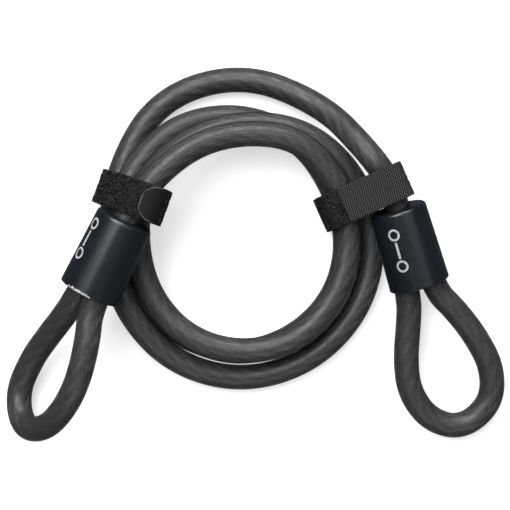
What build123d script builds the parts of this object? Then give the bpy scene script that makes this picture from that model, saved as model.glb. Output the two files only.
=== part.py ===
"""Double-loop security cable, coiled for storage and held by two hook-and-loop straps.

Frame: +Z up, the coil lies on the XY plane, +X to the right of the coil. Millimetres.
A steel wire rope in a plastic jacket is folded back at each end into a loop. A crimped ferrule
holds each fold, and a moulded cover, sealed with potting, hides the ferrule.
"""

import os
from math import cos, radians, sin, tan

from build123d import *

os.makedirs("parts", exist_ok=True)

# ---- cable -------------------------------------------------------------------------------------
CABLE_DIA = 12.0
ROPE_DIA = 8.0
CORE_DIA = 2.7
CORE_FIT = 0.05  # radial gap round the core strand
JACKET_BORE_RADIUS = ROPE_DIA / 2 + 0.1

# ---- coil: one row every 30 degrees, clockwise seen from above, starting 30 degrees left of the top
COIL_CENTRE = (-6.3, 4.55)
COIL_STEP = 30.0
COIL_START = 120.0
COIL = [  # (radius of the cable's centreline, height of the centreline)
    # first crossing of the top, from the left cover
    (49.2, 36.0), (50.4, 31.4), (54.4, 29.8), (52.0, 23.2),
    # right side, bottom and left side, inner turn
    (50.2, 19.0), (50.3, 18.6), (51.8, 18.5), (51.2, 18.5), (50.7, 18.6), (49.3, 18.6), (48.9, 22.0),
    # second crossing of the top
    (52.6, 29.4), (53.5, 24.0), (55.9, 19.0), (59.7, 18.5), (61.3, 14.0),
    # outer turn
    (62.5, 6.9), (63.3, 6.2), (64.0, 6.1), (64.9, 6.1), (64.6, 9.5), (62.4, 19.2), (61.9, 19.6),
    # third crossing of the top, which dives under the second
    (61.3, 19.5), (63.3, 12.7), (60.5, 6.9), (55.5, 6.2), (49.8, 8.2),
    # lowest turn, under the inner one
    (49.6, 6.9), (50.2, 6.2), (50.6, 6.1), (52.6, 6.1), (52.1, 6.1), (57.0, 6.2), (62.0, 6.9),
    # last crossing of the top, outermost, to the right cover
    (67.6, 8.1), (78.2, 6.7), (79.6, 6.1), (74.4, 10.0),
]

# ---- cable ends --------------------------------------------------------------------------------
# Each end is laid out along its cover's axis: s from the cover's top face towards the loop, and u
# across the loop's plane. The route runs from the dead end, round the loop and back up the cover.
DEAD_END = [(13.0, 4.4), (29.0, 4.4), (33.0, 6.0), (45.0, 7.0)]
STANDING_END = [(45.0, -7.0), (33.0, -6.0), (29.0, -4.4), (11.5, -4.4), (5.0, 0.0), (-13.0, 0.0)]
LEFT_LOOP = [
    (54.0, 13.2), (70.5, 19.8), (87.5, 21.0), (106.0, 15.0), (117.4, -0.3),
    (108.0, -16.0), (88.5, -17.0), (73.0, -13.5), (56.5, -8.8),
]
RIGHT_LOOP = [
    (54.5, 12.5), (70.2, 18.7), (88.3, 22.4), (104.9, 17.2), (112.7, 0.3),
    (103.9, -13.8), (87.7, -19.3), (72.2, -16.8), (55.7, -10.6),
]
FIRST_TUCKED, LAST_TUCKED = 1, 33.5  # points between these s values are bent small, inside the cover
TUCKED_RADIUS = 9.0
LOOP_FIRST, LOOP_LAST = 3, 13  # the rows of an end's route outside the cover
FLARE_START = 41.0  # from here on the loop has its own heading and slope

LEFT_END = {
    "top": (-59.6, 15.35),
    "height": 45.0,
    "heading": -116.8,
    "slope": 0.12,
    "loop": LEFT_LOOP,
    "loop_heading": -117.7,
    "loop_slope": 0.37,
    "roll": 45.0,
}
RIGHT_END = {
    "top": (67.0, 21.05),
    "height": 24.6,
    "heading": -72.8,
    "slope": 0.172,
    "loop": RIGHT_LOOP,
    "loop_heading": -72.8,
    "loop_slope": 0.165,
    "roll": 0.0,
}
RIGHT_APPROACH = (-30.0, -6.0)  # one more point before the right cover, in its own s and u

# ---- covers, ferrules and potting --------------------------------------------------------------
COVER_LENGTH = 38.0
COVER_TOP_RADIUS = 13.4
COVER_MOUTH_RADIUS = 14.5
COVER_WALL = 1.4
COVER_TOP_WALL = 2.0
COVER_SHOULDER = 1.8
COVER_HOLE_RADIUS = CABLE_DIA / 2 + 0.25
MOUTH_EDGE = 0.4

FERRULE_START, FERRULE_END = 14.0, 27.3
FERRULE_WALL = 2.1
FERRULE_BORE_RADIUS = ROPE_DIA / 2 + 0.05
ROPE_PITCH = 8.8  # between the two rope centres in the ferrule
CRIMP_COUNT = 3
CRIMP_WIDTH = 2.4
CRIMP_DEPTH = 0.5

JACKET_TOP_END = 2.2  # where the coil's jacket ends inside a cover
JACKET_LOOP_START = 34.7  # where a loop's jacket starts inside the mouth
POTTING_START, POTTING_END = 33.6, 36.4

# ---- straps: outlines in the strap's own plane, (across the bundle, height), at mid-thickness ---
TAPE_WIDTH = 17.0
TAPE_THICKNESS = 1.2
LEFT_STRAP = {
    "centre": (-54.6, 24.75),
    "heading": -110.0,
    "band": [(5.0, 52.7), (-5.9, 52.7), (-25.0, 0.6), (-7.2, 0.6), (12.6, 25.0), (12.6, 45.4)],
    "band_radii": [6.8, 6.8, 7.0, 8.0],
    "tab": [(12.6, 45.9), (12.6, 54.5), (2.4, 54.5)],
    "tab_radii": [8.0],
    "end_radius": 7.8,
}
RIGHT_STRAP = {
    "centre": (63.65, 31.8),
    "heading": -66.0,
    "band": [(1.5, 36.0), (-34.4, 28.1), (-34.4, 0.6), (-12.0, 0.6), (7.2, 23.6), (7.2, 31.6)],
    "band_radii": [6.4, 7.0, 7.0, 6.0],
    "tab": [(7.2, 32.1), (7.2, 39.1), (-24.5, 32.1)],
    "tab_radii": [5.0],
    "end_radius": 1.2,
}
TAB_REACH = 60.0  # longer than any tab, for the outline of its free end
TAB_CUT_DEPTH = 80.0
STITCH_LENGTH = 2.0
STITCH_PITCH = 3.0
STITCHES_IN_ROW = 5
STITCH_ROWS = 2
STITCH_ROW_GAP = 3.6
STITCH_WIDTH = 0.5
STITCH_HEIGHT = 0.35
SEAM_BELOW_HINGE = 1.6
STITCH_SPAN = STITCHES_IN_ROW * STITCH_PITCH - (STITCH_PITCH - STITCH_LENGTH)


def end_route(end):
    """One end's rows of (s, u), from the dead end round the loop to above the cover."""
    return [*DEAD_END, *end["loop"], *STANDING_END]


def end_frame(end, part=""):
    """The directions along and across an end's cover, or its loop, whose plane is rolled."""
    heading = radians(end[part + "heading"])
    roll = radians(end["roll"])
    along = Vector(cos(heading), sin(heading), -end[part + "slope"]).normalized()
    level = Vector(-sin(heading), cos(heading), 0)
    return along, level * cos(roll) + along.cross(level) * sin(roll)


def along_end(end, s, u):
    """The point of a cable end that lies s along its cover's axis and u across its loop's plane."""
    along, across = end_frame(end)
    top = Vector(*end["top"], end["height"])
    if s <= FLARE_START:
        return top + along * s + across * u
    loop_along, loop_across = end_frame(end, "loop_")
    return top + along * FLARE_START + loop_along * (s - FLARE_START) + loop_across * u


def coil_points():
    """The coil's turns, as the corners of a polygon round each stretch of the centreline."""
    points = []
    for k, (radius, height) in enumerate(COIL):
        angle = radians(COIL_START - COIL_STEP * k)
        corner = radius / cos(radians(COIL_STEP / 2))
        x = COIL_CENTRE[0] + corner * cos(angle)
        y = COIL_CENTRE[1] + corner * sin(angle)
        points.append(Vector(x, y, height))
    return points


def corner_radius(before, corner, after):
    """The largest arc that the two runs beside a corner leave room for."""
    first, second = corner - before, after - corner
    half_turn = radians(first.get_angle(second) / 2)
    return 0.45 * min(first.length, second.length) / tan(half_turn)


def end_radii(end, points):
    """An end's corner radii: as large as the runs allow, and small where the cover hides them."""
    radii = []
    for k, (s, _) in list(enumerate(end_route(end)))[1:-1]:
        radius = corner_radius(points[k - 1], points[k], points[k + 1])
        if FIRST_TUCKED < s < LAST_TUCKED:
            radius = min(radius, TUCKED_RADIUS)
        radii.append(radius)
    return radii


left_points = [along_end(LEFT_END, s, u) for s, u in end_route(LEFT_END)]
right_points = [along_end(RIGHT_END, s, u) for s, u in reversed(end_route(RIGHT_END))]
approach = along_end(RIGHT_END, *RIGHT_APPROACH)
middle_points = [*coil_points(), approach]
rope_points = [*left_points, *middle_points, *right_points]

left_radii = end_radii(LEFT_END, left_points)
right_radii = end_radii(RIGHT_END, right_points[::-1])[::-1]
inner_points = [left_points[-2], left_points[-1], *middle_points, right_points[0], right_points[1]]
middle_radii = [
    corner_radius(inner_points[k - 1], inner_points[k], inner_points[k + 1])
    for k in range(1, len(inner_points) - 1)
]
rope_radii = [*left_radii, *middle_radii, *right_radii]
print("rope corner radii:", [round(radius, 1) for radius in rope_radii])

# ---- the rope: a core strand inside a layer of outer strands ------------------------------------
with BuildPart() as rope_core_strand:
    with BuildLine() as rope_route:
        FilletPolyline(*rope_points, radius=rope_radii)
    rope_start = Plane(origin=rope_route.line @ 0, z_dir=rope_route.line % 0)
    with BuildSketch(rope_start):
        Circle(CORE_DIA / 2)
    sweep(path=rope_route.line)
rope_core_strand.part.label = "rope_core_strand"
export_step(rope_core_strand.part, "parts/rope_core_strand.step")
rope_length = rope_route.wire().length
print("rope length:", round(rope_length, 1))

with BuildPart() as rope_outer_strands:
    with BuildSketch(rope_start):
        Circle(ROPE_DIA / 2)
        Circle(CORE_DIA / 2 + CORE_FIT, mode=Mode.SUBTRACT)
    sweep(path=rope_route.line)
rope_outer_strands.part.label = "rope_outer_strands"
export_step(rope_outer_strands.part, "parts/rope_outer_strands.step")

# ---- jackets: one over the coil, one over each loop ---------------------------------------------
jacket_points = [
    along_end(LEFT_END, JACKET_TOP_END, 0.0),
    left_points[-1],
    *middle_points,
    right_points[0],
    along_end(RIGHT_END, JACKET_TOP_END, 0.0),
]
with BuildPart() as main_jacket:
    with BuildLine() as jacket_route:
        FilletPolyline(*jacket_points, radius=middle_radii)
    with BuildSketch(Plane(origin=jacket_route.line @ 0, z_dir=jacket_route.line % 0)):
        Circle(CABLE_DIA / 2)
        Circle(JACKET_BORE_RADIUS, mode=Mode.SUBTRACT)
    sweep(path=jacket_route.line)
main_jacket.part.label = "main_jacket"
export_step(main_jacket.part, "parts/main_jacket.step")
print("coil jacket length:", round(jacket_route.wire().length, 1))

for side, points, radii in (
    ("left", left_points, left_radii),
    ("right", right_points[::-1], right_radii[::-1]),
):
    mouth_row, first_row = DEAD_END[-2:]
    share = (JACKET_LOOP_START - mouth_row[0]) / (first_row[0] - mouth_row[0])
    first_run = points[LOOP_FIRST] - points[LOOP_FIRST - 1]
    last_run = points[LOOP_LAST] - points[LOOP_LAST + 1]
    loop_points = [
        points[LOOP_FIRST - 1] + first_run * share,
        *points[LOOP_FIRST : LOOP_LAST + 1],
        points[LOOP_LAST + 1] + last_run * share,
    ]
    with BuildPart() as loop_jacket:
        with BuildLine() as loop_route:
            FilletPolyline(*loop_points, radius=radii[LOOP_FIRST - 1 : LOOP_LAST])
        with BuildSketch(Plane(origin=loop_route.line @ 0, z_dir=loop_route.line % 0)):
            Circle(CABLE_DIA / 2)
            Circle(JACKET_BORE_RADIUS, mode=Mode.SUBTRACT)
        sweep(path=loop_route.line)
    loop_jacket.part.label = f"{side}_loop_jacket"
    export_step(loop_jacket.part, f"parts/{side}_loop_jacket.step")
    print(side, "loop jacket length:", round(loop_route.wire().length, 1))


def end_plane(end, s):
    """The plane across a cover's axis at s, with its X along the loop's plane."""
    along, across = end_frame(end)
    return Plane(origin=along_end(end, s, 0.0), x_dir=across, z_dir=along)


def axis_plane(end):
    """The plane through a cover's axis and its loop's plane, with its Y along the axis."""
    along, across = end_frame(end)
    return Plane(origin=along_end(end, 0.0, 0.0), x_dir=across, z_dir=across.cross(along))


def cover_bore(s):
    """The radius of the cover's tapered inside at s."""
    share = (s - COVER_TOP_WALL) / (COVER_LENGTH - COVER_TOP_WALL)
    return COVER_TOP_RADIUS - COVER_WALL + (COVER_MOUTH_RADIUS - COVER_TOP_RADIUS) * share


def leg_plane(end, first, second):
    """The plane across one leg's straight run out of the mouth, between two rows of its route."""
    start = along_end(end, *end_route(end)[first])
    return Plane(origin=start, z_dir=along_end(end, *end_route(end)[second]) - start)


for side, end in (("left", LEFT_END), ("right", RIGHT_END)):
    # ---- ferrule: a stadium-shaped sleeve with a bore for each rope, pressed in rings
    with BuildPart() as ferrule:
        with BuildSketch(end_plane(end, FERRULE_START)):
            SlotCenterToCenter(ROPE_PITCH, 2 * (FERRULE_BORE_RADIUS + FERRULE_WALL))
        extrude(amount=FERRULE_END - FERRULE_START)
        pitch = (FERRULE_END - FERRULE_START) / (CRIMP_COUNT + 1)
        for k in range(CRIMP_COUNT):
            with BuildSketch(end_plane(end, FERRULE_START + pitch * (k + 1) - CRIMP_WIDTH / 2)):
                SlotCenterToCenter(ROPE_PITCH + 9, 2 * (FERRULE_BORE_RADIUS + FERRULE_WALL + 3))
                SlotCenterToCenter(
                    ROPE_PITCH,
                    2 * (FERRULE_BORE_RADIUS + FERRULE_WALL - CRIMP_DEPTH),
                    mode=Mode.SUBTRACT,
                )
            extrude(amount=CRIMP_WIDTH, mode=Mode.SUBTRACT)
        with BuildSketch(end_plane(end, FERRULE_START)):
            with Locations((-ROPE_PITCH / 2, 0), (ROPE_PITCH / 2, 0)):
                Circle(FERRULE_BORE_RADIUS)
        extrude(amount=FERRULE_END - FERRULE_START, mode=Mode.SUBTRACT)
    ferrule.part.label = f"{side}_ferrule"
    export_step(ferrule.part, f"parts/{side}_ferrule.step")

    # ---- cover: a tapered shell with a cable hole in its top wall and an open mouth
    with BuildPart() as cover:
        with BuildSketch(axis_plane(end)):
            with BuildLine():
                Polyline(
                    (COVER_HOLE_RADIUS, 0),
                    (COVER_TOP_RADIUS, 0),
                    (COVER_MOUTH_RADIUS, COVER_LENGTH),
                    (COVER_MOUTH_RADIUS - COVER_WALL, COVER_LENGTH),
                    (COVER_TOP_RADIUS - COVER_WALL, COVER_TOP_WALL),
                    (COVER_HOLE_RADIUS, COVER_TOP_WALL),
                    close=True,
                )
            make_face()
        revolve(axis=Axis(along_end(end, 0.0, 0.0), end_frame(end)[0]))
        rims = cover.edges().filter_by(GeomType.CIRCLE)
        fillet(rims.group_by(SortBy.RADIUS)[-2], COVER_SHOULDER)
        fillet(cover.edges().filter_by(GeomType.CIRCLE).group_by(SortBy.RADIUS)[-1], MOUTH_EDGE)
    cover.part.label = f"{side}_cover"
    export_step(cover.part, f"parts/{side}_cover.step")

    # ---- potting: the resin that fills the mouth round the loop's two legs
    with BuildPart() as potting:
        with BuildSketch(axis_plane(end)):
            with BuildLine():
                Polyline(
                    (0, POTTING_START),
                    (cover_bore(POTTING_START), POTTING_START),
                    (cover_bore(POTTING_END), POTTING_END),
                    (0, POTTING_END),
                    close=True,
                )
            make_face()
        revolve(axis=Axis(along_end(end, 0.0, 0.0), end_frame(end)[0]))
        for first, second in ((LOOP_FIRST - 1, LOOP_FIRST), (LOOP_LAST + 1, LOOP_LAST)):
            with BuildSketch(leg_plane(end, first, second)):
                Circle(CABLE_DIA / 2)
            extrude(amount=CABLE_DIA, both=True, mode=Mode.SUBTRACT)
    potting.part.label = f"{side}_potting"
    export_step(potting.part, f"parts/{side}_potting.step")


def strap_plane(strap, offset=0.0):
    """The plane across a strap's bundle: X across the bundle, Y up, its normal along the bundle."""
    heading = radians(strap["heading"])
    normal = Vector(cos(heading), sin(heading), 0)
    centre = Vector(*strap["centre"], 0)
    return Plane(
        origin=centre + normal * offset,
        x_dir=(-sin(heading), cos(heading), 0),
        z_dir=normal,
    )


def plan_plane(strap):
    """The level plane through a strap's centre, with its X across the bundle."""
    across = strap_plane(strap).x_dir
    return Plane(origin=(*strap["centre"], 0), x_dir=across, z_dir=(0, 0, 1))


for side, strap in (("left", LEFT_STRAP), ("right", RIGHT_STRAP)):
    near_edge = strap_plane(strap, -TAPE_WIDTH / 2)

    # ---- band: loop tape that runs round the bundle, from under the tab to the seam
    with BuildPart() as band:
        with BuildSketch(near_edge):
            with BuildLine() as band_line:
                FilletPolyline(*strap["band"], radius=strap["band_radii"])
            trace(line_width=TAPE_THICKNESS)
        extrude(amount=TAPE_WIDTH)
    band.part.label = f"{side}_strap_band"
    export_step(band.part, f"parts/{side}_strap_band.step")

    # ---- tab: hook tape that lies over the band and peels from its free end
    with BuildPart() as tab:
        with BuildSketch(near_edge):
            with BuildLine() as tab_line:
                FilletPolyline(*strap["tab"], radius=strap["tab_radii"])
            trace(line_width=TAPE_THICKNESS)
        extrude(amount=TAPE_WIDTH)
        free_end = strap["tab"][-1][0]
        with BuildSketch(plan_plane(strap)) as outline:
            with Locations((free_end + TAB_REACH / 2, 0)):
                Rectangle(TAB_REACH, TAPE_WIDTH)
            fillet(outline.vertices().group_by(Axis.X)[0], strap["end_radius"])
        extrude(amount=TAB_CUT_DEPTH, both=True, mode=Mode.INTERSECT)
    tab.part.label = f"{side}_strap_tab"
    export_step(tab.part, f"parts/{side}_strap_tab.step")

    # ---- seam: two rows of stitches that hold the tab's root to the band, just below the tab
    hinge_across, hinge_height = strap["tab"][0]
    face_across = hinge_across + TAPE_THICKNESS / 2 + STITCH_HEIGHT / 2
    first_row = hinge_height - SEAM_BELOW_HINGE
    with BuildPart() as stitching:
        for row in range(STITCH_ROWS):
            with BuildSketch(near_edge.offset((TAPE_WIDTH - STITCH_SPAN) / 2)):
                with Locations((face_across, first_row - row * STITCH_ROW_GAP)):
                    Rectangle(STITCH_HEIGHT, STITCH_WIDTH)
            extrude(amount=STITCH_SPAN)
        for gap in range(STITCHES_IN_ROW - 1):
            gap_start = (TAPE_WIDTH - STITCH_SPAN) / 2 + gap * STITCH_PITCH + STITCH_LENGTH
            with BuildSketch(near_edge.offset(gap_start)):
                with Locations((face_across, first_row - STITCH_ROW_GAP / 2)):
                    Rectangle(2 * STITCH_HEIGHT, 2 * STITCH_ROW_GAP)
            extrude(amount=STITCH_PITCH - STITCH_LENGTH, mode=Mode.SUBTRACT)
    stitching.part.label = f"{side}_strap_stitching"
    export_step(stitching.part, f"parts/{side}_strap_stitching.step")
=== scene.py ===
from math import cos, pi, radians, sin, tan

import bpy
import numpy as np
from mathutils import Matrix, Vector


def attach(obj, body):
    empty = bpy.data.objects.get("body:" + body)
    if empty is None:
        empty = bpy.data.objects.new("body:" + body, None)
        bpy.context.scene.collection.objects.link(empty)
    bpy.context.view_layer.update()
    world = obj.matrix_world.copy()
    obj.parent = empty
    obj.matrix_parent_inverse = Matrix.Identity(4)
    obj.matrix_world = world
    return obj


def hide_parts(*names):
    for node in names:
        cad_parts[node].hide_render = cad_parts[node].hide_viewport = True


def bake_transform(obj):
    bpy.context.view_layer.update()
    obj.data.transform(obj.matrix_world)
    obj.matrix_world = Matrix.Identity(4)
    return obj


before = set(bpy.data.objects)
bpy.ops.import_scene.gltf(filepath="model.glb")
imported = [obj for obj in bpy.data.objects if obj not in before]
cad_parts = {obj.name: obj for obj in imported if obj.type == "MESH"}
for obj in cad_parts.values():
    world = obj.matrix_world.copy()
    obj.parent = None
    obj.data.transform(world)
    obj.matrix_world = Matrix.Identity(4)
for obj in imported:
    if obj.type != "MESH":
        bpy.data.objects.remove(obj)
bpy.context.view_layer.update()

# A coiled double-loop security cable: a twisted steel rope in a smoked jacket, a glossy cover at
# each end, and two hook-and-loop straps round the coil. Lengths below are in millimetres, and MM
# turns them into the frame's metres.

MM = 0.001

# ---- camera --------------------------------------------------------------------------------------
CAMERA_POINT = (-0.2, -1.2)
CAMERA_HEIGHT = 750.0
CAMERA_LENS = 108.5

camera_data = bpy.data.cameras.new("camera")
camera_data.lens = CAMERA_LENS
camera = bpy.data.objects.new("camera", camera_data)
camera.location = (CAMERA_POINT[0] * MM, CAMERA_POINT[1] * MM, CAMERA_HEIGHT * MM)
bpy.context.scene.collection.objects.link(camera)
bpy.context.scene.camera = camera

# ---- cable: the route's points, as in the CAD model ----------------------------------------------
CABLE_DIA = 12.0
ROPE_DIA = 8.0
COIL_CENTRE = (-6.3, 4.55)
COIL_STEP = 30.0
COIL_START = 120.0
COIL = [  # (radius of the cable's centreline, height of the centreline)
    # first crossing of the top, from the left cover
    (49.2, 36.0), (50.4, 31.4), (54.4, 29.8), (52.0, 23.2),
    # right side, bottom and left side, inner turn
    (50.2, 19.0), (50.3, 18.6), (51.8, 18.5), (51.2, 18.5), (50.7, 18.6), (49.3, 18.6),
    (48.9, 22.0),
    # second crossing of the top
    (52.6, 29.4), (53.5, 24.0), (55.9, 19.0), (59.7, 18.5), (61.3, 14.0),
    # outer turn
    (62.5, 6.9), (63.3, 6.2), (64.0, 6.1), (64.9, 6.1), (64.6, 9.5), (62.4, 19.2), (61.9, 19.6),
    # third crossing of the top, which dives under the second
    (61.3, 19.5), (63.3, 12.7), (60.5, 6.9), (55.5, 6.2), (49.8, 8.2),
    # lowest turn, under the inner one
    (49.6, 6.9), (50.2, 6.2), (50.6, 6.1), (52.6, 6.1), (52.1, 6.1), (57.0, 6.2), (62.0, 6.9),
    # last crossing of the top, outermost, to the right cover
    (67.6, 8.1), (78.2, 6.7), (79.6, 6.1), (74.4, 10.0),
]

# ---- cable ends ----------------------------------------------------------------------------------
# Each end is laid out along its cover's axis: s from the cover's top face towards the loop, and u
# across the loop's plane. The route runs from the dead end, round the loop and back up the cover.
DEAD_END = [(13.0, 4.4), (29.0, 4.4), (33.0, 6.0), (45.0, 7.0)]
STANDING_END = [(45.0, -7.0), (33.0, -6.0), (29.0, -4.4), (11.5, -4.4), (5.0, 0.0), (-13.0, 0.0)]
LEFT_LOOP = [
    (54.0, 13.2), (70.5, 19.8), (87.5, 21.0), (106.0, 15.0), (117.4, -0.3),
    (108.0, -16.0), (88.5, -17.0), (73.0, -13.5), (56.5, -8.8),
]
RIGHT_LOOP = [
    (54.5, 12.5), (70.2, 18.7), (88.3, 22.4), (104.9, 17.2), (112.7, 0.3),
    (103.9, -13.8), (87.7, -19.3), (72.2, -16.8), (55.7, -10.6),
]
LOOP_FIRST, LOOP_LAST = 3, 13  # the rows of an end's route outside the cover
FLARE_START = 41.0  # from here on the loop has its own heading and slope

LEFT_END = {
    "top": (-59.6, 15.35),
    "height": 45.0,
    "heading": -116.8,
    "slope": 0.12,
    "loop": LEFT_LOOP,
    "loop_heading": -117.7,
    "loop_slope": 0.37,
    "roll": 45.0,
}
RIGHT_END = {
    "top": (67.0, 21.05),
    "height": 24.6,
    "heading": -72.8,
    "slope": 0.172,
    "loop": RIGHT_LOOP,
    "loop_heading": -72.8,
    "loop_slope": 0.165,
    "roll": 0.0,
}
RIGHT_APPROACH = (-30.0, -6.0)  # one more point before the right cover, in its own s and u
ENDS = {"left": LEFT_END, "right": RIGHT_END}
JACKET_TOP_END = 2.2
JACKET_LOOP_START = 34.7

COVER_LENGTH = 38.0
COVER_TOP_RADIUS = 13.4
COVER_MOUTH_RADIUS = 14.5


def end_route(end):
    """One end's rows of (s, u), from the dead end round the loop to above the cover."""
    return [*DEAD_END, *end["loop"], *STANDING_END]


def end_frame(end, part=""):
    """The directions along and across an end's cover, or its loop, whose plane is rolled."""
    heading = radians(end[part + "heading"])
    roll = radians(end["roll"])
    along = Vector((cos(heading), sin(heading), -end[part + "slope"])).normalized()
    level = Vector((-sin(heading), cos(heading), 0))
    return along, level * cos(roll) + along.cross(level) * sin(roll)


def along_end(end, s, u):
    """The point of a cable end that lies s along its cover's axis and u across its loop's plane."""
    along, across = end_frame(end)
    top = Vector((*end["top"], end["height"]))
    if s <= FLARE_START:
        return (top + along * s + across * u) * MM
    loop_along, loop_across = end_frame(end, "loop_")
    return (top + along * FLARE_START + loop_along * (s - FLARE_START) + loop_across * u) * MM


def coil_points():
    """The coil's turns, as the corners of a polygon round each stretch of the centreline."""
    points = []
    for k, (radius, height) in enumerate(COIL):
        angle = radians(COIL_START - COIL_STEP * k)
        corner = radius / cos(radians(COIL_STEP / 2))
        x = COIL_CENTRE[0] + corner * cos(angle)
        y = COIL_CENTRE[1] + corner * sin(angle)
        points.append(Vector((x, y, height)) * MM)
    return points


def loop_points(end):
    """One loop's route, from the jacket's edge in the mouth round to its other edge."""
    route = end_route(end)
    points = [along_end(end, s, u) for s, u in route]
    share = (JACKET_LOOP_START - route[LOOP_FIRST - 1][0]) / (
        route[LOOP_FIRST][0] - route[LOOP_FIRST - 1][0]
    )
    first = points[LOOP_FIRST - 1].lerp(points[LOOP_FIRST], share)
    last = points[LOOP_LAST + 1].lerp(points[LOOP_LAST], share)
    return [first, *points[LOOP_FIRST : LOOP_LAST + 1], last]


left_points = [along_end(LEFT_END, s, u) for s, u in end_route(LEFT_END)]
right_points = [along_end(RIGHT_END, s, u) for s, u in reversed(end_route(RIGHT_END))]
middle_points = [*coil_points(), along_end(RIGHT_END, *RIGHT_APPROACH)]
rope_points = [*left_points, *middle_points, *right_points]
jacket_points = [
    along_end(LEFT_END, JACKET_TOP_END, 0.0),
    left_points[-1],
    *middle_points,
    right_points[0],
    along_end(RIGHT_END, JACKET_TOP_END, 0.0),
]


def points_along(name, route, resolution):
    """Points read from a smooth NURBS spline that has the route's points as its control points."""
    data = bpy.data.curves.new(name, "CURVE")
    data.dimensions = "3D"
    spline = data.splines.new("NURBS")
    spline.points.add(len(route) - 1)
    for point, place in zip(spline.points, route):
        point.co = (*place, 1.0)
    spline.order_u = 3
    spline.use_endpoint_u = True
    spline.resolution_u = resolution
    curve = bpy.data.objects.new(name, data)
    mesh = bpy.data.meshes.new_from_object(curve)
    points = np.array([vertex.co[:] for vertex in mesh.vertices])
    bpy.data.objects.remove(curve)
    bpy.data.meshes.remove(mesh)
    bpy.data.curves.remove(data)
    gaps = np.linalg.norm(np.diff(points, axis=0), axis=1)
    return points[np.concatenate([[True], gaps > 1e-7])]


def frames_along(points):
    """Two unit directions across each point of a line, carried along it without twist."""
    tangents = np.gradient(points, axis=0)
    tangents /= np.linalg.norm(tangents, axis=1)[:, None]
    side = np.cross(tangents[0], (0.0, 0.0, 1.0))
    side /= np.linalg.norm(side)
    sides = []
    for tangent in tangents:
        side = side - tangent * side.dot(tangent)
        side /= np.linalg.norm(side)
        sides.append(side)
    sides = np.array(sides)
    return sides, np.cross(tangents, sides)


def distances(points):
    steps = np.linalg.norm(np.diff(points, axis=0), axis=1)
    return np.concatenate([[0.0], np.cumsum(steps)])


# ---- mesh helpers --------------------------------------------------------------------------------
def new_mesh(name, vertices, faces, material, smooth=True):
    """A mesh object made from arrays of vertices and faces."""
    data = bpy.data.meshes.new(name)
    data.from_pydata([tuple(v) for v in vertices], [], [tuple(f) for f in faces])
    data.validate()
    data.shade_smooth() if smooth else data.shade_flat()
    data.materials.append(material)
    obj = bpy.data.objects.new(name, data)
    bpy.context.scene.collection.objects.link(obj)
    return obj


def tube_mesh(points, radii, sides):
    """Vertices and faces of a closed tube round a line, with flat ends."""
    side, other = frames_along(points)
    turns = np.linspace(0, 2 * pi, sides, endpoint=False)
    ring = (
        side[:, None, :] * np.cos(turns)[None, :, None]
        + other[:, None, :] * np.sin(turns)[None, :, None]
    )
    radii = np.broadcast_to(radii, len(points))
    vertices = (points[:, None, :] + ring * radii[:, None, None]).reshape(-1, 3)
    rows = np.arange(len(points) - 1)[:, None] * sides
    near = np.arange(sides)[None, :]
    far = (near + 1) % sides
    quads = np.stack([rows + near, rows + far, rows + sides + far, rows + sides + near], axis=-1)
    faces = [list(q) for q in quads.reshape(-1, 4)]
    faces.append(list(range(sides))[::-1])
    faces.append([len(vertices) - sides + k for k in range(sides)])
    return vertices, faces


def joined(parts):
    """One set of vertices and faces from several."""
    vertices, faces, count = [], [], 0
    for part_vertices, part_faces in parts:
        vertices.append(np.asarray(part_vertices))
        faces.extend([[index + count for index in face] for face in part_faces])
        count += len(part_vertices)
    return np.concatenate(vertices), faces


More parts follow.
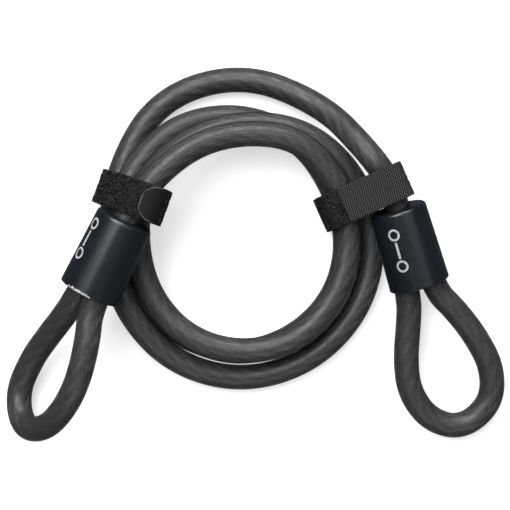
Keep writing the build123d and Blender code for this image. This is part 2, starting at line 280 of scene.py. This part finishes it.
# ---- materials -----------------------------------------------------------------------------------
class Surface:
    """A Principled material and short ways to add the nodes that feed it."""

    def __init__(self, name, color, roughness, metallic=0.0):
        self.material = bpy.data.materials.new(name)
        self.material.use_nodes = True
        self.tree = self.material.node_tree
        self.shader = self.tree.nodes["Principled BSDF"]
        self.shader.inputs["Base Color"].default_value = (*color, 1.0)
        self.shader.inputs["Roughness"].default_value = roughness
        self.shader.inputs["Metallic"].default_value = metallic
        self.place = self.tree.nodes.new("ShaderNodeTexCoord").outputs["Object"]

    def set(self, **values):
        for key, value in values.items():
            self.shader.inputs[key.replace("_", " ")].default_value = value

    def noise(self, per_mm, detail=3.0, stretch=(1, 1, 1)):
        """A noise pattern with about that many features in a millimetre."""
        mapping = self.tree.nodes.new("ShaderNodeMapping")
        mapping.inputs["Scale"].default_value = [s * per_mm / MM for s in stretch]
        self.tree.links.new(self.place, mapping.inputs["Vector"])
        texture = self.tree.nodes.new("ShaderNodeTexNoise")
        texture.inputs["Scale"].default_value = 1.0
        texture.inputs["Detail"].default_value = detail
        self.tree.links.new(mapping.outputs["Vector"], texture.inputs["Vector"])
        return texture.outputs["Fac"]

    def attribute(self, name):
        node = self.tree.nodes.new("ShaderNodeAttribute")
        node.attribute_name = name
        return node.outputs["Fac"]

    def ramp(self, factor, low, high, start=0.3, end=0.7):
        """A blend from low to high as factor goes from start to end."""
        node = self.tree.nodes.new("ShaderNodeValToRGB")
        node.color_ramp.elements[0].position = start
        node.color_ramp.elements[1].position = end
        node.color_ramp.elements[0].color = (*low, 1.0) if len(low) == 3 else low
        node.color_ramp.elements[1].color = (*high, 1.0) if len(high) == 3 else high
        self.tree.links.new(factor, node.inputs["Fac"])
        return node.outputs["Color"]

    def between(self, factor, low, high, start=0.0, end=1.0):
        """A number from low to high as factor goes from start to end."""
        node = self.tree.nodes.new("ShaderNodeMapRange")
        node.inputs["From Min"].default_value = start
        node.inputs["From Max"].default_value = end
        node.inputs["To Min"].default_value = low
        node.inputs["To Max"].default_value = high
        self.tree.links.new(factor, node.inputs["Value"])
        return node.outputs["Result"]

    def feed(self, socket, output):
        self.tree.links.new(output, self.shader.inputs[socket])

    def bump(self, height, distance, strength=1.0):
        node = self.tree.nodes.new("ShaderNodeBump")
        node.inputs["Distance"].default_value = distance * MM
        node.inputs["Strength"].default_value = strength
        self.tree.links.new(height, node.inputs["Height"])
        self.tree.links.new(node.outputs["Normal"], self.shader.inputs["Normal"])


def jacket_material():
    """Smoked, glossy vinyl that the strands show through."""
    surface = Surface("smoked_jacket", (0.024, 0.024, 0.026), 0.4)
    surface.set(Alpha=0.79, IOR=1.45)
    surface.feed("Roughness", surface.between(surface.noise(0.25, 4.0), 0.36, 0.50, 0.35, 0.65))
    surface.bump(surface.noise(0.5, 2.0), 0.03, 0.25)
    return surface.material


def strand_material():
    """Drawn galvanised wire, slightly warm, with darker and duller stretches."""
    surface = Surface("drawn_wire", (0.55, 0.53, 0.47), 0.35, 1.0)
    patches = surface.noise(0.12, 5.0)
    surface.feed("Base Color", surface.ramp(patches, (0.22, 0.215, 0.19), (0.62, 0.60, 0.53)))
    surface.feed("Roughness", surface.between(surface.noise(0.6, 4.0), 0.42, 0.6, 0.3, 0.7))
    return surface.material


def filler_material():
    surface = Surface("strand_filler", (0.13, 0.13, 0.12), 0.8)
    patches = surface.noise(0.5)
    surface.feed("Base Color", surface.ramp(patches, (0.10, 0.10, 0.09), (0.16, 0.16, 0.15)))
    return surface.material


def cover_material():
    """Glossy blue-black moulding with a faint orange-peel skin."""
    surface = Surface("blue_black_cover", (0.004, 0.006, 0.009), 0.25)
    surface.feed(
        "Base Color",
        surface.ramp(surface.noise(0.08, 4.0), (0.003, 0.005, 0.008), (0.005, 0.008, 0.012)),
    )
    surface.feed("Roughness", surface.between(surface.noise(0.5, 5.0), 0.27, 0.33, 0.3, 0.7))
    surface.bump(surface.noise(1.2, 3.0), 0.01, 0.06)
    return surface.material


def potting_material():
    surface = Surface("potting_resin", (0.02, 0.02, 0.022), 0.55)
    surface.feed("Base Color", surface.ramp(surface.noise(0.4, 5.0), (0.010,) * 3, (0.04,) * 3))
    surface.bump(surface.noise(0.8, 4.0), 0.3, 0.6)
    return surface.material


def ferrule_material():
    surface = Surface("pressed_aluminium", (0.72, 0.73, 0.75), 0.35, 1.0)
    surface.feed("Roughness", surface.between(surface.noise(0.8, 5.0), 0.28, 0.5, 0.3, 0.7))
    surface.bump(surface.noise(2.0, 3.0), 0.03, 0.4)
    return surface.material


def pile_material():
    surface = Surface("loop_pile", (0.02, 0.02, 0.022), 0.75)
    speckle = surface.noise(0.8, 3.0)
    surface.feed(
        "Base Color",
        surface.ramp(speckle, (0.001, 0.001, 0.001), (0.065, 0.065, 0.073), 0.45, 0.66),
    )
    surface.set(Specular_IOR_Level=0.12)
    return surface.material


def weave_material():
    """Black woven tape with painted light and shade: raised yarns, read from the mesh, are painted
    paler than its gaps.
    """
    surface = Surface("woven_tape", (0.03, 0.03, 0.032), 0.7)
    raised = surface.attribute("raised")
    # painted shade in the gaps and painted light on the raised yarns
    surface.feed(
        "Base Color",
        surface.ramp(raised, (0.001, 0.001, 0.001), (0.105, 0.105, 0.115), 0.35, 1.0),
    )
    surface.set(Specular_IOR_Level=0.12)
    surface.bump(surface.noise(4.0, 2.0), 0.05, 0.5)
    return surface.material


def thread_material():
    surface = Surface("polyester_thread", (0.05, 0.05, 0.055), 0.55)
    surface.feed("Base Color", surface.ramp(surface.noise(3.0), (0.03,) * 3, (0.09,) * 3))
    return surface.material


def print_material():
    surface = Surface("pale_print", (0.33, 0.335, 0.34), 0.55)
    wear = surface.noise(1.5, 4.0)
    surface.feed(
        "Base Color", surface.ramp(wear, (0.16, 0.165, 0.17), (0.36, 0.365, 0.37), 0.3, 0.5)
    )
    return surface.material


def flash_glint_material():
    # the flash's pale patches are painted highlight: the lip's glints, drawn as colour
    surface = Surface("moulding_flash_painted_glint", (0.45, 0.45, 0.44), 0.6)
    surface.feed("Base Color", surface.ramp(surface.noise(1.2, 4.0), (0.06,) * 3, (0.5, 0.5, 0.48)))
    return surface.material


JACKET = jacket_material()
WIRE = strand_material()
FILLER = filler_material()
COVER = cover_material()
POTTING = potting_material()
FERRULE = ferrule_material()
PILE = pile_material()
WEAVE = weave_material()
THREAD = thread_material()
PRINT = print_material()
FLASH_GLINT = flash_glint_material()

# ---- cords: the jacket over the coil and over each loop ------------------------------------------
JACKET_SIDES = 40
LINE_RESOLUTION = 12

jacket_lines = {
    "main": points_along("main_line", jacket_points, LINE_RESOLUTION),
    "left_loop": points_along("left_loop_line", loop_points(LEFT_END), LINE_RESOLUTION),
    "right_loop": points_along("right_loop_line", loop_points(RIGHT_END), LINE_RESOLUTION),
}
for name, line in jacket_lines.items():
    jacket = new_mesh(
        f"{name}_jacket_skin", *tube_mesh(line, CABLE_DIA / 2 * MM, JACKET_SIDES), JACKET
    )
    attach(jacket, "cable")
    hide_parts(f"{name}_jacket")

# ---- the rope's strands, which follow the whole route --------------------------------------------
MAGNIFIED = 1.42  # the round jacket makes the rope inside it look this much thicker
STRANDS = 6
WIRES = 6
ROPE_LAY = 62.0
STRAND_LAY = 27.0
STRAND_RADIUS = ROPE_DIA / 6
WIRE_RADIUS = STRAND_RADIUS / 3
WIRE_SIDES = 5
FILLER_SHARE = 0.78
FILLER_SIDES = 16
ROPE_RESOLUTION = 14
THIN_END = 37.5  # just inside a cover's mouth, from where the rope is drawn fully magnified
THIN_FADE = 3.0  # the length over which it thins to its real size, going in


def magnification(points):
    """How thick the rope is drawn at each point: its real size inside the covers."""
    scale = np.full(len(points), MAGNIFIED)
    for end in ENDS.values():
        along = np.array(end_frame(end)[0])
        top = np.array((*end["top"], end["height"])) * MM
        reach = (points - top) @ along / MM
        lateral = np.linalg.norm(points - top - np.outer(reach, along) * MM, axis=1) / MM
        inside = np.clip(np.minimum(reach, THIN_END - reach) / THIN_FADE, 0, 1)
        inside[lateral > COVER_MOUTH_RADIUS] = 0
        scale = np.minimum(scale, MAGNIFIED + (1 - MAGNIFIED) * inside)
    return scale


rope_line = points_along("rope_line", rope_points, ROPE_RESOLUTION)
rope_side, rope_other = frames_along(rope_line)
rope_distance = distances(rope_line) / MM
rope_scale = magnification(rope_line)


def around(centre, side, other, radius, angle):
    """Points at that radius and angle round each point of a line."""
    return centre + (
        side * np.cos(angle)[:, None] + other * np.sin(angle)[:, None]
    ) * np.asarray(radius)[:, None]


for strand in range(STRANDS):
    strand_angle = 2 * pi * (rope_distance / ROPE_LAY + strand / STRANDS)
    axis = around(
        rope_line, rope_side, rope_other, 2 * STRAND_RADIUS * rope_scale * MM, strand_angle
    )
    axis_side, axis_other = frames_along(axis)
    parts = [tube_mesh(axis, WIRE_RADIUS * rope_scale * MM, WIRE_SIDES)]
    for wire in range(WIRES):
        wire_angle = 2 * pi * (wire / WIRES - rope_distance / STRAND_LAY)
        centre = around(axis, axis_side, axis_other, 2 * WIRE_RADIUS * rope_scale * MM, wire_angle)
        parts.append(tube_mesh(centre, WIRE_RADIUS * rope_scale * MM, WIRE_SIDES))
    strands = new_mesh(f"rope_strand_{strand + 1}", *joined(parts), WIRE)
    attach(strands, "cable")
    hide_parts("rope_outer_strands")
filler = new_mesh(
    "rope_filler",
    *tube_mesh(rope_line, ROPE_DIA / 2 * FILLER_SHARE * rope_scale * MM, FILLER_SIDES),
    FILLER,
)
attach(filler, "cable")
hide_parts("rope_core_strand")

# ---- CAD nodes that stay, with their real materials ----------------------------------------------
for side in ENDS:
    for node, material in (("cover", COVER), ("ferrule", FERRULE), ("potting", POTTING)):
        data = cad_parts[f"{side}_{node}"].data
        data.materials.clear()
        data.materials.append(material)

# ---- a plain mark printed on each cover, and flash on the left cover's lip with painted glints ---
MARKS = {  # (the mark's middle along the cover, degrees round the cover from its top to its left)
    "left": (14.7, 54.0),
    "right": (17.5, 28.0),
}
MARK_REACH = 7.6  # from the mark's middle to the middle of each ring
RING_INNER, RING_OUTER = 1.9, 2.9
RING_STEPS = 48
BAR_HALF_WIDTH = 0.6
BAR_GAP = 0.8
BAR_STEPS = 16
PRINT_LIFT = 0.05
FLASH_FROM, FLASH_TO = -10.0, 40.0  # degrees round the cover from its top to its left
FLASH_STEPS = 90
FLASH_SEED = 3
FLASH_LEAST, FLASH_SPREAD = 0.45, 2.0  # how far the flash reaches up the cover from its lip
FLASH_PROFILE = (0.42, 0.12, -0.04)  # distances from the lip where it follows the lip's rounding
FLASH_LIFT = (-0.05, 0.06, 0.05, -0.06, -0.5)


def cover_skin(end, s, angle, lift):
    """The point of a cover's outer face at s, an angle from its top to its left, raised by lift."""
    along = np.array(end_frame(end)[0])
    up = np.array((0.0, 0.0, 1.0)) - along * along[2]
    up /= np.linalg.norm(up)
    left = np.cross(along, up)
    s, angle, lift = np.broadcast_arrays(s, angle, lift)
    radius = COVER_TOP_RADIUS + (COVER_MOUTH_RADIUS - COVER_TOP_RADIUS) * s / COVER_LENGTH + lift
    top = np.array((*end["top"], end["height"]))
    outward = up * np.cos(angle)[..., None] + left * np.sin(angle)[..., None]
    return (top + along * s[..., None] + outward * radius[..., None]) * MM


def skin_patch(end, s, angle, lift, wraps):
    """Vertices and faces of a grid laid on a cover's outer face."""
    grid = cover_skin(end, s, angle, lift)
    rows, columns = grid.shape[:2]
    faces = []
    for i in range(rows if wraps else rows - 1):
        for j in range(columns - 1):
            a, b = i * columns + j, (i + 1) % rows * columns + j
            faces.append((a, a + 1, b + 1, b))
    return grid.reshape(-1, 3), faces


for side, (middle, degrees) in MARKS.items():
    end = ENDS[side]
    radius = (COVER_TOP_RADIUS + COVER_MOUTH_RADIUS) / 2
    turn = np.linspace(0, 2 * pi, RING_STEPS, endpoint=False)[:, None]
    ring = np.array((RING_INNER, RING_INNER, RING_OUTER, RING_OUTER))[None, :]
    lift = np.array((-PRINT_LIFT, PRINT_LIFT, PRINT_LIFT, -PRINT_LIFT))[None, :]
    parts = []
    for sign in (-1, 1):
        s = middle + sign * MARK_REACH + ring * np.cos(turn)
        angle = radians(degrees) + ring * np.sin(turn) / radius
        parts.append(skin_patch(end, s, angle, lift, True))
    bar_reach = MARK_REACH - RING_OUTER - BAR_GAP
    s = np.linspace(middle - bar_reach, middle + bar_reach, BAR_STEPS)[:, None]
    width = np.array((-BAR_HALF_WIDTH, -BAR_HALF_WIDTH, BAR_HALF_WIDTH, BAR_HALF_WIDTH))[None, :]
    parts.append(skin_patch(end, s, radians(degrees) + width / radius, lift, False))
    mark = new_mesh(f"{side}_cover_mark", *joined(parts), PRINT, smooth=False)
    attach(mark, "cable")

draw = np.random.default_rng(FLASH_SEED)
angle = np.radians(np.linspace(FLASH_FROM, FLASH_TO, FLASH_STEPS))[:, None]
ragged = np.convolve(draw.uniform(0.0, 1.0, FLASH_STEPS + 2) ** 2, (0.25, 0.5, 0.25), "valid")
fade = np.sin(np.linspace(0.15, pi - 0.1, FLASH_STEPS)) ** 0.5
inset = FLASH_LEAST + FLASH_SPREAD * ragged * fade
profile = [np.full(FLASH_STEPS, distance) for distance in FLASH_PROFILE]
s = COVER_LENGTH - np.stack([inset, inset, *profile], axis=1)
lift = np.array(FLASH_LIFT)[None, :]
# a thin strip on the lip, coloured pale as a painted highlight
flash = new_mesh("left_cover_flash", *skin_patch(LEFT_END, s, angle, lift, False), FLASH_GLINT)
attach(flash, "cable")

# ---- straps --------------------------------------------------------------------------------------
TAPE_WIDTH = 17.0
TAPE_THICKNESS = 1.2
BAND_STEP, BAND_COLUMNS = 0.4, 49
TAB_STEP, TAB_COLUMNS = 0.18, 107  # finer, for the yarns that show
EDGE_THINNING, EDGE_FROM = 0.35, 0.93  # both shares: how much it thins, from where to its edge
UNDER_RAISED = 0.35  # what the inner face says for raised, a mid share, so that its painted shade looks plain
PLAIN_PITCH, PLAIN_HEIGHT = 0.8, 0.04
STRAPS = {
    "left": {
        "centre": (-54.6, 24.75),
        "heading": -110.0,
        "band": [(5.0, 52.7), (-5.9, 52.7), (-25.0, 0.6), (-7.2, 0.6), (12.6, 25.0), (12.6, 45.4)],
        "band_radii": [6.8, 6.8, 7.0, 8.0],
        "tab": [(12.6, 45.5), (12.6, 54.5), (2.4, 54.5)],
        "tab_radii": [8.0],
        "end_radius": 7.8,
        "pile_seed": 5,
    },
    "right": {
        "centre": (63.65, 31.8),
        "heading": -66.0,
        "band": [(1.5, 36.0), (-34.4, 28.1), (-34.4, 0.6), (-12.0, 0.6), (7.2, 23.6), (7.2, 31.6)],
        "band_radii": [6.4, 7.0, 7.0, 6.0],
        "tab": [(7.2, 31.7), (7.2, 39.1), (-24.5, 32.1)],
        "tab_radii": [5.0],
        "end_radius": 1.2,
        "pile_seed": 8,
    },
}


def rounded_outline(corners, radii, step):
    """Evenly spaced points, and the outward direction at each, along a strap's outline."""
    corners = [np.array(c) for c in corners]
    points = [corners[0]]
    for before, corner, after, radius in zip(corners, corners[1:], corners[2:], radii):
        into = (corner - before) / np.linalg.norm(corner - before)
        out = (after - corner) / np.linalg.norm(after - corner)
        turn = np.arccos(np.clip(into.dot(out), -1, 1))
        reach = radius * tan(turn / 2)
        left = into[0] * out[1] - into[1] * out[0] > 0
        normal = np.array((-into[1], into[0])) * (1 if left else -1)
        centre = corner - into * reach + normal * radius
        for share in np.linspace(0, 1, 12):
            angle = turn * share
            points.append(centre - normal * radius * cos(angle) + into * radius * sin(angle))
    points.append(corners[-1])
    points = np.array(points)
    far = np.concatenate([[0], np.cumsum(np.linalg.norm(np.diff(points, axis=0), axis=1))])
    count = int(far[-1] / step) + 1
    wanted = np.linspace(0, far[-1], count)
    line = np.stack([np.interp(wanted, far, points[:, k]) for k in (0, 1)], axis=1)
    tangent = np.gradient(line, axis=0)
    tangent /= np.linalg.norm(tangent, axis=1)[:, None]
    return line, np.stack([tangent[:, 1], -tangent[:, 0]], axis=1), wanted


def strap_axes(strap):
    """The strap's centre, and its directions across the bundle and along it."""
    heading = radians(strap["heading"])
    centre = np.array((*strap["centre"], 0.0))
    across = np.array((-sin(heading), cos(heading), 0.0))
    bundle = np.array((cos(heading), sin(heading), 0.0))
    return centre, across, bundle


def strap_point(strap, plane_points, offset):
    """Points in metres from (across, height) pairs and offsets along the bundle, all in mm."""
    centre, across, bundle = strap_axes(strap)
    height = np.array((0.0, 0.0, 1.0))
    plane_points = np.asarray(plane_points)
    return (
        centre
        + plane_points[..., :1] * across
        + plane_points[..., 1:] * height
        + np.asarray(offset)[..., None] * bundle
    ) * MM


def tape(name, strap, line, normal, half_widths, columns, relief, material):
    """A tape along an outline. relief(i, w) is the outer face's height over the plain tape."""
    rows = len(line)
    share = np.linspace(-1, 1, columns)
    offset = half_widths[:, None] * share[None, :]
    height, raised = relief(np.arange(rows)[:, None], offset)
    edge = 1 - EDGE_THINNING * np.clip((np.abs(share) - EDGE_FROM) / (1 - EDGE_FROM), 0, 1)[None, :]
    outer = TAPE_THICKNESS / 2 * edge + height
    inner = -TAPE_THICKNESS / 2 * edge + 0 * height
    sheets = []
    for face in (outer, inner):
        plane_points = line[:, None, :] + normal[:, None, :] * face[..., None]
        sheets.append(strap_point(strap, plane_points, offset).reshape(-1, 3))
    count = rows * columns
    i, j = np.meshgrid(np.arange(rows - 1), np.arange(columns - 1), indexing="ij")
    a = (i * columns + j).ravel()
    top = np.stack([a, a + 1, a + columns + 1, a + columns], axis=1)
    under = top[:, ::-1] + count
    border = [k for k in range(columns)]
    border += [r * columns + columns - 1 for r in range(1, rows)]
    border += [(rows - 1) * columns + k for k in range(columns - 2, -1, -1)]
    border += [r * columns for r in range(rows - 2, 0, -1)]
    following = border[1:] + border[:1]
    walls = [(p, p + count, q + count, q) for p, q in zip(border, following)]
    faces = [*map(tuple, top), *map(tuple, under), *walls]
    obj = new_mesh(name, np.concatenate(sheets), faces, material)
    # raised sets the tape's painted light and shade: yarn tops painted pale, gaps painted dark
    values = np.concatenate([raised.ravel(), np.full(count, UNDER_RAISED)])
    layer = obj.data.attributes.new("raised", "FLOAT", "POINT")
    layer.data.foreach_set("value", values.astype(np.float32))
    return obj


def plain_relief(distance):
    """The band's ground weave under its pile."""

    def relief(rows, offset):
        along = distance[rows]
        wave = np.sin(2 * pi * along / PLAIN_PITCH) * np.sin(2 * pi * offset / PLAIN_PITCH)
        return PLAIN_HEIGHT * (wave - 1), 0.4 + 0.3 * wave

    return relief


def twill_relief(distance):
    """Diagonal ridges of knotted yarn, as on woven hook tape."""
    pitch, tilt, knot, slant, height = 0.98, -0.7, 0.9, 0.3, 0.16

    def relief(rows, offset):
        along = distance[rows]
        ridge = 0.5 + 0.5 * np.cos(2 * pi * (along + tilt * offset) / pitch)
        knots = 0.5 + 0.5 * np.cos(2 * pi * (offset - slant * along) / knot)
        mixed = ridge * (0.45 + 0.55 * knots)
        return height * (mixed - 0.5), mixed

    return relief


def grid_relief(distance, half_widths, end_radius):
    """A fine grid of hooks' backs, and a raised welt round the free end."""
    pitch, height = 0.72, 0.09
    welt_height, welt_inset, welt_spread = 0.22, 0.55, 0.12
    total = distance[-1]

    def relief(rows, offset):
        along = distance[rows]
        grid = (0.5 + 0.5 * np.cos(2 * pi * along / pitch)) * (
            0.5 + 0.5 * np.cos(2 * pi * offset / pitch)
        )
        to_side = half_widths[rows] - np.abs(offset)
        to_end = total - along
        near = np.minimum(to_side * 1.2, to_end + 0 * offset)
        in_end = np.clip((end_radius + 2 - to_end) / 3, 0, 1)
        welt = np.exp(-((near - welt_inset) ** 2) / welt_spread) * in_end
        # the grid's tops and the welt are painted lighter here, as painted light
        raised = np.clip(0.30 + 0.30 * grid + 0.42 * welt, 0, 1)
        return height * (grid - 0.5) + welt_height * welt, raised

    return relief


def tapered_widths(distance, radius):
    """Half the tape's width at each row, rounded off with that radius at the free end."""
    to_end = np.clip(radius - (distance[-1] - distance), 0, radius)
    return TAPE_WIDTH / 2 - radius + np.sqrt(radius**2 - to_end**2)


LOOP_PILE_PER_MM2 = 2.6
LOOP_PILE_HEIGHT = (0.35, 0.75)
LOOP_PILE_SPREAD = (0.35, 0.85)
LOOP_PILE_YARN = 0.10
LOOP_PILE_LEAN = 0.5
LOOP_PILE_STEPS, LOOP_PILE_SIDES = 5, 3
LOOP_PILE_ROOT = 0.05  # how deep each loop starts in the tape
PILE_END_MARGIN, PILE_SIDE_MARGIN = 0.4, 0.3


def pile(name, strap, line, normal, distance, seed):
    """Small curled loops of yarn scattered over a band's outer face."""
    draw = np.random.default_rng(seed)
    count = int(distance[-1] * TAPE_WIDTH * LOOP_PILE_PER_MM2)
    tangent = np.stack([-normal[:, 1], normal[:, 0]], axis=1)
    parts = []
    arch = np.linspace(0, pi, LOOP_PILE_STEPS)
    for _ in range(count):
        spot = draw.uniform(PILE_END_MARGIN, distance[-1] - PILE_END_MARGIN)
        row = min(int(np.searchsorted(distance, spot)), len(line) - 1)
        offset = draw.uniform(-TAPE_WIDTH / 2 + PILE_SIDE_MARGIN, TAPE_WIDTH / 2 - PILE_SIDE_MARGIN)
        height = draw.uniform(*LOOP_PILE_HEIGHT)
        spread = draw.uniform(*LOOP_PILE_SPREAD)
        turn = draw.uniform(0, 2 * pi)
        lean = draw.uniform(-LOOP_PILE_LEAN, LOOP_PILE_LEAN, 2)
        rise = height * np.sin(arch)
        run = spread / 2 * np.cos(arch)
        down = run * cos(turn) + lean[0] * rise
        over = run * sin(turn) + lean[1] * rise
        base = line[row] + normal[row] * (TAPE_THICKNESS / 2 - LOOP_PILE_ROOT)
        plane_points = base + tangent[row] * down[:, None] + normal[row] * rise[:, None]
        if plane_points[:, 1].min() < 2 * LOOP_PILE_YARN:  # it would reach the floor
            continue
        curl = strap_point(strap, plane_points, offset + over)
        parts.append(tube_mesh(curl, LOOP_PILE_YARN * MM, LOOP_PILE_SIDES))
    return new_mesh(name, *joined(parts), PILE)


for side, strap in STRAPS.items():
    line, normal, distance = rounded_outline(strap["band"], strap["band_radii"], BAND_STEP)
    widths = np.full(len(line), TAPE_WIDTH / 2)
    relief = plain_relief(distance)
    band = tape(f"{side}_band_tape", strap, line, normal, widths, BAND_COLUMNS, relief, WEAVE)
    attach(band, "cable")
    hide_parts(f"{side}_strap_band")
    loops = pile(f"{side}_band_pile", strap, line, normal, distance, strap["pile_seed"])
    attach(loops, "cable")

    line, normal, distance = rounded_outline(strap["tab"], strap["tab_radii"], TAB_STEP)
    widths = tapered_widths(distance, strap["end_radius"])
    if side == "left":
        relief = grid_relief(distance, widths, strap["end_radius"])
    else:
        relief = twill_relief(distance)
    tab = tape(f"{side}_tab_tape", strap, line, normal, widths, TAB_COLUMNS, relief, WEAVE)
    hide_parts(f"{side}_strap_tab")
    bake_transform(tab)
    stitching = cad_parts[f"{side}_strap_stitching"].data
    stitching.materials.clear()
    stitching.materials.append(THREAD)

# ---- floor and light -----------------------------------------------------------------------------
floor_material = Surface("pale_floor", (0.6, 0.6, 0.6), 0.9)
floor_material.set(Emission_Color=(1.0, 1.0, 1.0, 1.0), Emission_Strength=0.55)
FLOOR_HALF = 3  # metres
floor = new_mesh(
    "floor",
    [(x * FLOOR_HALF, y * FLOOR_HALF, 0) for x, y in ((-1, -1), (1, -1), (1, 1), (-1, 1))],
    [(0, 1, 2, 3)],
    floor_material.material,
    smooth=False,
)
floor.visible_glossy = False  # glossy sides mirror the dark room and not the white floor


def area_light(name, place, target, size, power):
    """A soft rectangular studio lamp aimed at a point."""
    data = bpy.data.lights.new(name, "AREA")
    data.shape = "RECTANGLE"
    data.size, data.size_y = size
    data.energy = power
    lamp = bpy.data.objects.new(name, data)
    lamp.location = place
    lamp.rotation_euler = (Vector(target) - Vector(place)).to_track_quat("-Z", "Y").to_euler()
    bpy.context.scene.collection.objects.link(lamp)


area_light("key", (-0.42, 0.42, 1.25), (0, 0, 0), (0.70, 0.9), 21.0)
area_light("side", (0.61, 0.16, 1.30), (0, 0, 0), (0.8, 1.0), 3.5)
area_light("back", (0.10, 1.35, 1.05), (0, 0, 0), (1.2, 0.6), 28.0)
area_light("front", (0.00, -1.40, 1.20), (0, 0, 0), (1.2, 0.6), 7.0)

world = bpy.data.worlds.new("studio")
world.use_nodes = True
world.node_tree.nodes["Background"].inputs["Color"].default_value = (1.0, 1.0, 1.0, 1.0)
world.node_tree.nodes["Background"].inputs["Strength"].default_value = 0.10
bpy.context.scene.world = world
bpy.context.scene.view_settings.view_transform = "Standard"
